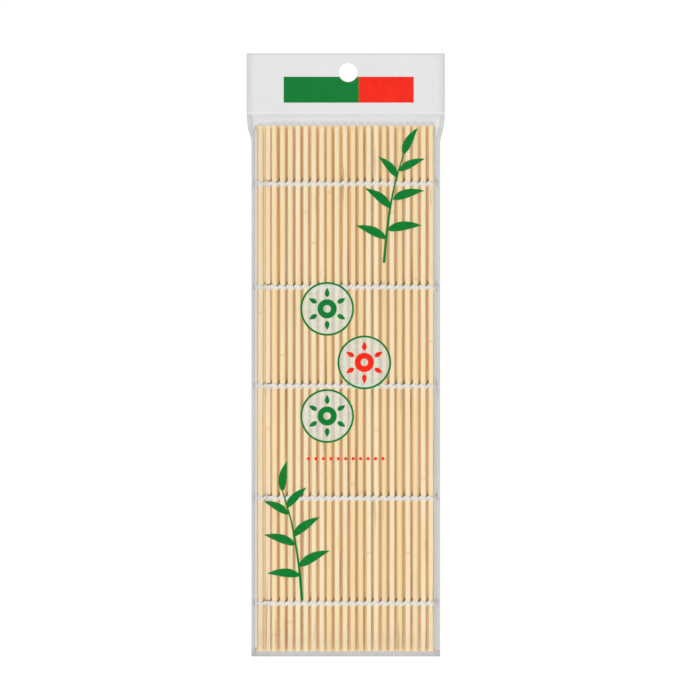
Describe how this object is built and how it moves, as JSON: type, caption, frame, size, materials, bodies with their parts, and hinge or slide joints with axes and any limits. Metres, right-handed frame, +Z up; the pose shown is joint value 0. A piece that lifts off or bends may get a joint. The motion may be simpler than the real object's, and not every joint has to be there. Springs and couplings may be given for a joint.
{
  "type": "sushi rolling mat",
  "caption": "Bamboo sushi rolling mat of slats tied with cotton twine, folded in three in a clear header bag with a hang hole; it slides out, folds open and rolls up.",
  "frame": {"origin": "on the floor under the middle of the bag, which lies on its back", "axes": "+X across the slats to the side of the fold between middle and top panel, +Y along the slats to the hang hole, +Z up out of the printed front"},
  "size_m": [0.091, 0.2768, 0.009],
  "materials": {
    "bamboo": "planed bamboo, satin",
    "twine": "twisted cotton",
    "film": "clear soft film, glossy"
  },
  "bodies": {
    "base_panel": {"base_slats": "bamboo", "base_twine": "twine", "base_end_knots": "twine", "left_fold_twine": "twine"},
    "middle_panel": {"middle_slats": "bamboo", "middle_twine": "twine", "right_fold_twine": "twine"},
    "top_slat_21": {"slat_21": "bamboo", "twine_21": "twine"},
    "top_slat_20": {"slat_20": "bamboo", "twine_20": "twine"},
    "top_slat_19": {"slat_19": "bamboo", "twine_19": "twine"},
    "top_slat_18": {"slat_18": "bamboo", "twine_18": "twine"},
    "top_slat_17": {"slat_17": "bamboo", "twine_17": "twine"},
    "top_slat_16": {"slat_16": "bamboo", "twine_16": "twine"},
    "top_slat_15": {"slat_15": "bamboo", "twine_15": "twine"},
    "top_slat_14": {"slat_14": "bamboo", "twine_14": "twine"},
    "top_slat_13": {"slat_13": "bamboo", "twine_13": "twine"},
    "top_slat_12": {"slat_12": "bamboo", "twine_12": "twine"},
    "top_slat_11": {"slat_11": "bamboo", "twine_11": "twine"},
    "top_slat_10": {"slat_10": "bamboo", "twine_10": "twine"},
    "top_slat_09": {"slat_09": "bamboo", "twine_09": "twine"},
    "top_slat_08": {"slat_08": "bamboo", "twine_08": "twine"},
    "top_slat_07": {"slat_07": "bamboo", "twine_07": "twine"},
    "top_slat_06": {"slat_06": "bamboo", "twine_06": "twine"},
    "top_slat_05": {"slat_05": "bamboo", "twine_05": "twine"},
    "top_slat_04": {"slat_04": "bamboo", "twine_04": "twine"},
    "top_slat_03": {"slat_03": "bamboo", "twine_03": "twine"},
    "top_slat_02": {"slat_02": "bamboo", "twine_02": "twine"},
    "top_slat_01": {"slat_01": "bamboo", "twine_01": "twine", "top_end_knots": "twine"},
    "bag": {"bag_front_sheet": "film", "bag_back_sheet": "film", "bag_header": "film"}
  },
  "joints": [
    {"name": "bag_slide", "type": "slide", "parent": "base_panel", "child": "bag", "axis": [0, 1, 0], "range_m": [0, 0.3]},
    {"name": "left_fold", "type": "hinge", "parent": "base_panel", "child": "middle_panel", "pos_m": [-0.04152, 0, 0.00304], "axis": [0, -1, 0], "range_deg": [0, 180], "deforming": ["left_fold_twine", "bag_front_sheet"]},
    {"name": "right_fold", "type": "hinge", "parent": "middle_panel", "child": "top_slat_21", "pos_m": [0.04109, 0, 0.00582], "axis": [0, 1, 0], "range_deg": [0, 180], "deforming": ["right_fold_twine"]},
    {"name": "roll_20", "type": "hinge", "parent": "top_slat_21", "child": "top_slat_20", "pos_m": [0.03726, 0, 0.00721], "axis": [0, 1, 0], "range_deg": [0, 14]},
    {"name": "roll_19", "type": "hinge", "parent": "top_slat_20", "child": "top_slat_19", "pos_m": [0.03368, 0, 0.00721], "axis": [0, 1, 0], "range_deg": [0, 14]},
    {"name": "roll_18", "type": "hinge", "parent": "top_slat_19", "child": "top_slat_18", "pos_m": [0.0301, 0, 0.00721], "axis": [0, 1, 0], "range_deg": [0, 14]},
    {"name": "roll_17", "type": "hinge", "parent": "top_slat_18", "child": "top_slat_17", "pos_m": [0.02652, 0, 0.00721], "axis": [0, 1, 0], "range_deg": [0, 14]},
    {"name": "roll_16", "type": "hinge", "parent": "top_slat_17", "child": "top_slat_16", "pos_m": [0.02294, 0, 0.00721], "axis": [0, 1, 0], "range_deg": [0, 14]},
    {"name": "roll_15", "type": "hinge", "parent": "top_slat_16", "child": "top_slat_15", "pos_m": [0.01936, 0, 0.00721], "axis": [0, 1, 0], "range_deg": [0, 14]},
    {"name": "roll_14", "type": "hinge", "parent": "top_slat_15", "child": "top_slat_14", "pos_m": [0.01578, 0, 0.00721], "axis": [0, 1, 0], "range_deg": [0, 14]},
    {"name": "roll_13", "type": "hinge", "parent": "top_slat_14", "child": "top_slat_13", "pos_m": [0.0122, 0, 0.00721], "axis": [0, 1, 0], "range_deg": [0, 14]},
    {"name": "roll_12", "type": "hinge", "parent": "top_slat_13", "child": "top_slat_12", "pos_m": [0.00862, 0, 0.00721], "axis": [0, 1, 0], "range_deg": [0, 14]},
    {"name": "roll_11", "type": "hinge", "parent": "top_slat_12", "child": "top_slat_11", "pos_m": [0.00504, 0, 0.00721], "axis": [0, 1, 0], "range_deg": [0, 14]},
    {"name": "roll_10", "type": "hinge", "parent": "top_slat_11", "child": "top_slat_10", "pos_m": [0.00146, 0, 0.00721], "axis": [0, 1, 0], "range_deg": [0, 14]},
    {"name": "roll_09", "type": "hinge", "parent": "top_slat_10", "child": "top_slat_09", "pos_m": [-0.00212, 0, 0.00721], "axis": [0, 1, 0], "range_deg": [0, 14]},
    {"name": "roll_08", "type": "hinge", "parent": "top_slat_09", "child": "top_slat_08", "pos_m": [-0.0057, 0, 0.00721], "axis": [0, 1, 0], "range_deg": [0, 14]},
    {"name": "roll_07", "type": "hinge", "parent": "top_slat_08", "child": "top_slat_07", "pos_m": [-0.00928, 0, 0.00721], "axis": [0, 1, 0], "range_deg": [0, 14]},
    {"name": "roll_06", "type": "hinge", "parent": "top_slat_07", "child": "top_slat_06", "pos_m": [-0.01286, 0, 0.00721], "axis": [0, 1, 0], "range_deg": [0, 14]},
    {"name": "roll_05", "type": "hinge", "parent": "top_slat_06", "child": "top_slat_05", "pos_m": [-0.01644, 0, 0.00721], "axis": [0, 1, 0], "range_deg": [0, 14]},
    {"name": "roll_04", "type": "hinge", "parent": "top_slat_05", "child": "top_slat_04", "pos_m": [-0.02002, 0, 0.00721], "axis": [0, 1, 0], "range_deg": [0, 14]},
    {"name": "roll_03", "type": "hinge", "parent": "top_slat_04", "child": "top_slat_03", "pos_m": [-0.0236, 0, 0.00721], "axis": [0, 1, 0], "range_deg": [0, 14]},
    {"name": "roll_02", "type": "hinge", "parent": "top_slat_03", "child": "top_slat_02", "pos_m": [-0.02718, 0, 0.00721], "axis": [0, 1, 0], "range_deg": [0, 14]},
    {"name": "roll_01", "type": "hinge", "parent": "top_slat_02", "child": "top_slat_01", "pos_m": [-0.03076, 0, 0.00721], "axis": [0, 1, 0], "range_deg": [0, 14]}
  ],
  "couplings": [
    {"joint": "right_fold", "follows": "left_fold", "ratio": 1},
    {"joint": "roll_19", "follows": "roll_20", "ratio": 1},
    {"joint": "roll_18", "follows": "roll_20", "ratio": 1},
    {"joint": "roll_17", "follows": "roll_20", "ratio": 1},
    {"joint": "roll_16", "follows": "roll_20", "ratio": 1},
    {"joint": "roll_15", "follows": "roll_20", "ratio": 1},
    {"joint": "roll_14", "follows": "roll_20", "ratio": 1},
    {"joint": "roll_13", "follows": "roll_20", "ratio": 1},
    {"joint": "roll_12", "follows": "roll_20", "ratio": 1},
    {"joint": "roll_11", "follows": "roll_20", "ratio": 1},
    {"joint": "roll_10", "follows": "roll_20", "ratio": 1},
    {"joint": "roll_09", "follows": "roll_20", "ratio": 1},
    {"joint": "roll_08", "follows": "roll_20", "ratio": 1},
    {"joint": "roll_07", "follows": "roll_20", "ratio": 1},
    {"joint": "roll_06", "follows": "roll_20", "ratio": 1},
    {"joint": "roll_05", "follows": "roll_20", "ratio": 1},
    {"joint": "roll_04", "follows": "roll_20", "ratio": 1},
    {"joint": "roll_03", "follows": "roll_20", "ratio": 1},
    {"joint": "roll_02", "follows": "roll_20", "ratio": 1},
    {"joint": "roll_01", "follows": "roll_20", "ratio": 1}
  ]
}
